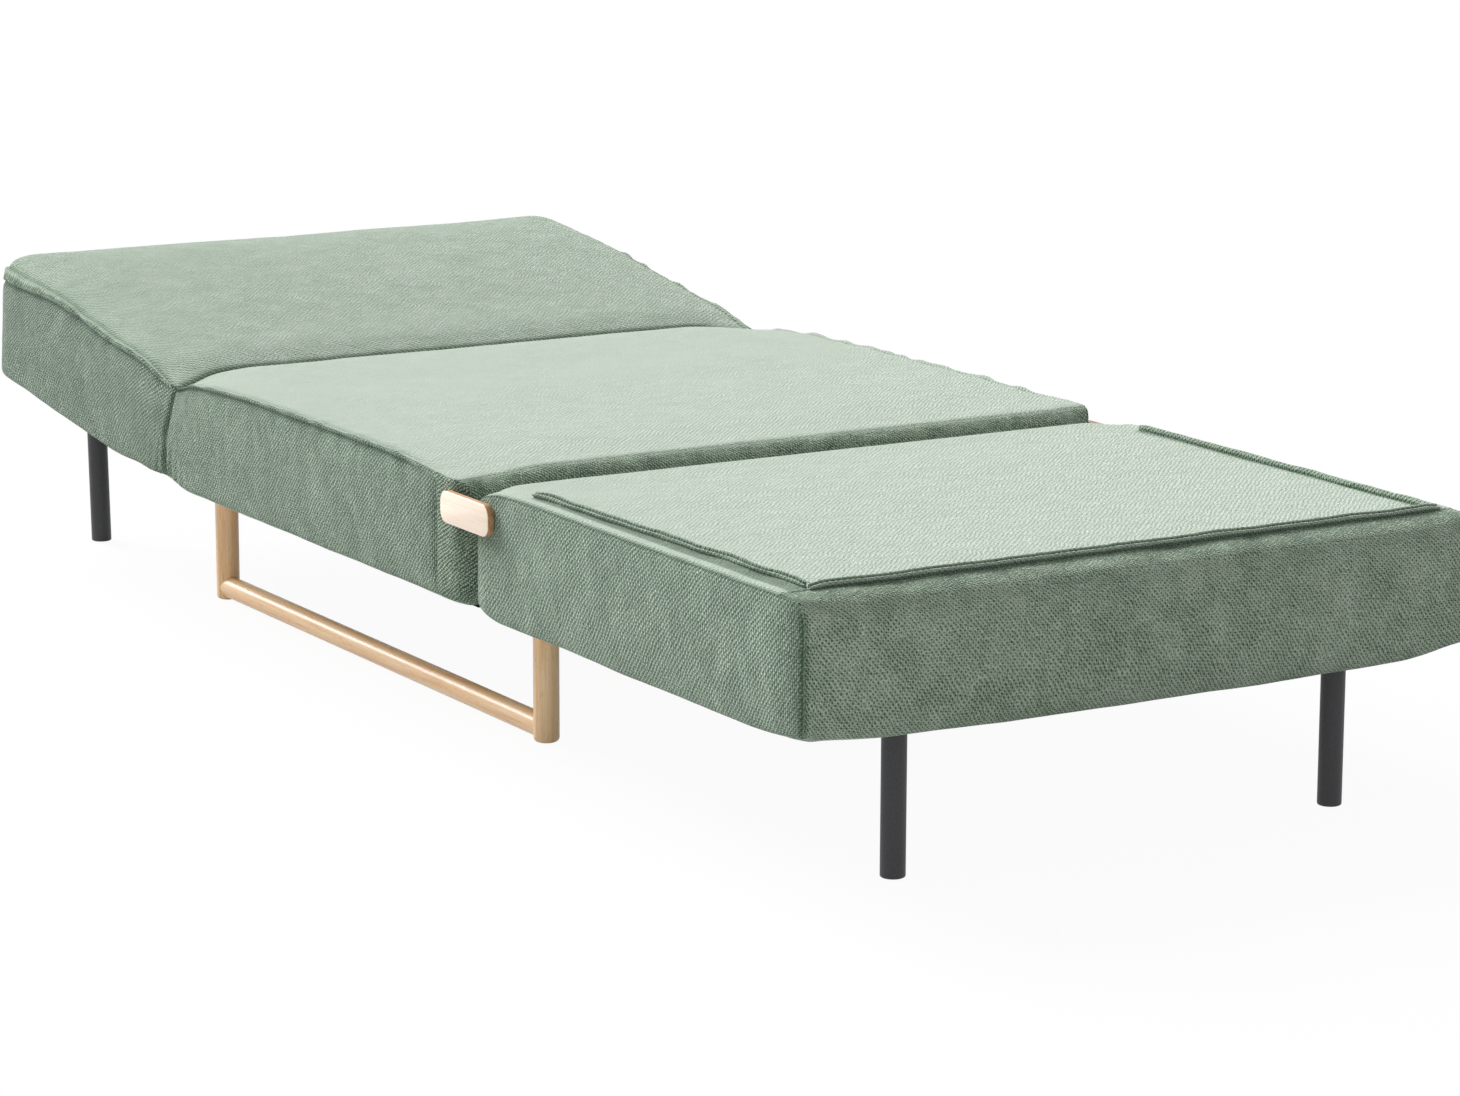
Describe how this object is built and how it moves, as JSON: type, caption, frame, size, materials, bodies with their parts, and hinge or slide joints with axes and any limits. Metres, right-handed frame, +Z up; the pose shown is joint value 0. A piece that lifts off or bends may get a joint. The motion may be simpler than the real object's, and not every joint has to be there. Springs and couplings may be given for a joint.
{
  "type": "convertible chair bed",
  "caption": "Single chair bed lying open: hinged backrest, seat on wooden runners, and a fold-out section that flips over on side link plates.",
  "frame": {"origin": "on the floor, midway across the bed's width and midway along its open length", "axes": "+X across the bed to the left of someone sitting on it, +Y along the bed from the foot end to the head end, +Z up from the floor"},
  "size_m": [0.822, 1.9568, 0.3628],
  "materials": {
    "upholstery_fabric": "sage chunky woven upholstery fabric",
    "base_cloth": "black spun dust cloth",
    "foam": "cream polyurethane foam",
    "pale_beech": "clear-coated pale beech plywood",
    "beech": "clear-lacquered solid beech dowel",
    "frame_wood": "sawn and planed softwood",
    "charcoal_steel": "satin charcoal powder coat",
    "zinc_steel": "bright zinc-plated steel",
    "nylon": "natural nylon"
  },
  "bodies": {
    "seat": {"bearer_bolts": "zinc_steel", "bearer_left": "frame_wood", "bearer_right": "frame_wood", "fold_wedge_foam": "foam", "front_cross_bar": "frame_wood", "front_post_left": "beech", "front_post_right": "beech", "rear_cross_bar": "frame_wood", "rear_post_left": "beech", "rear_post_right": "beech", "recline_pins": "zinc_steel", "recline_ratchet_discs": "zinc_steel", "recline_seat_arm_left": "zinc_steel", "recline_seat_arm_right": "zinc_steel", "runner_rail_left": "beech", "runner_rail_right": "beech", "seat_base_cloth": "base_cloth", "seat_cover": "upholstery_fabric", "seat_foam": "foam", "seat_front_rail": "frame_wood", "seat_link_brackets": "zinc_steel", "seat_link_bushes": "nylon", "seat_rear_rail": "frame_wood", "seat_side_rail_left": "frame_wood", "seat_side_rail_right": "frame_wood", "seat_slats": "frame_wood"},
    "backrest": {"back_cover": "upholstery_fabric", "back_foam": "foam", "back_fold_rail": "frame_wood", "back_head_rail": "frame_wood", "back_rear_panel": "upholstery_fabric", "back_side_rail_left": "frame_wood", "back_side_rail_right": "frame_wood", "back_slats": "frame_wood", "head_leg_left": "charcoal_steel", "head_leg_right": "charcoal_steel", "recline_back_arm_left": "zinc_steel", "recline_back_arm_right": "zinc_steel", "recline_housings": "zinc_steel"},
    "link_plates": {"link_clips": "zinc_steel", "link_pins": "zinc_steel", "link_plate_left": "pale_beech", "link_plate_right": "pale_beech"},
    "fold_out": {"fold_out_cover": "upholstery_fabric", "fold_out_deck": "frame_wood", "fold_out_front_rail": "frame_wood", "fold_out_leg_blocks": "frame_wood", "fold_out_leg_sockets": "zinc_steel", "fold_out_link_brackets": "zinc_steel", "fold_out_link_bushes": "nylon", "fold_out_rear_rail": "frame_wood", "fold_out_side_rail_left": "frame_wood", "fold_out_side_rail_right": "frame_wood", "fold_out_top_foam": "foam", "fold_out_under_foam": "foam", "fold_out_under_panel": "upholstery_fabric", "fold_out_welt": "upholstery_fabric"},
    "front_leg_left": {"front_leg_left": "charcoal_steel"},
    "front_leg_right": {"front_leg_right": "charcoal_steel"}
  },
  "joints": [
    {"name": "recline", "type": "hinge", "parent": "seat", "child": "backrest", "pos_m": [0, 0.45358, 0.2285], "axis": [1, 0, 0], "range_deg": [0, 70], "deforming": ["fold_wedge_foam"]},
    {"name": "link_swing", "type": "hinge", "parent": "seat", "child": "link_plates", "pos_m": [0, -0.28617, 0.263], "axis": [-1, 0, 0], "range_deg": [0, 90]},
    {"name": "fold_over", "type": "hinge", "parent": "link_plates", "child": "fold_out", "pos_m": [0, -0.36267, 0.263], "axis": [-1, 0, 0], "range_deg": [0, 90]},
    {"name": "front_leg_left_release", "type": "slide", "parent": "fold_out", "child": "front_leg_left", "axis": [0, 0, -1], "range_m": [0, 0.06]},
    {"name": "front_leg_right_release", "type": "slide", "parent": "fold_out", "child": "front_leg_right", "axis": [0, 0, -1], "range_m": [0, 0.06]}
  ]
}
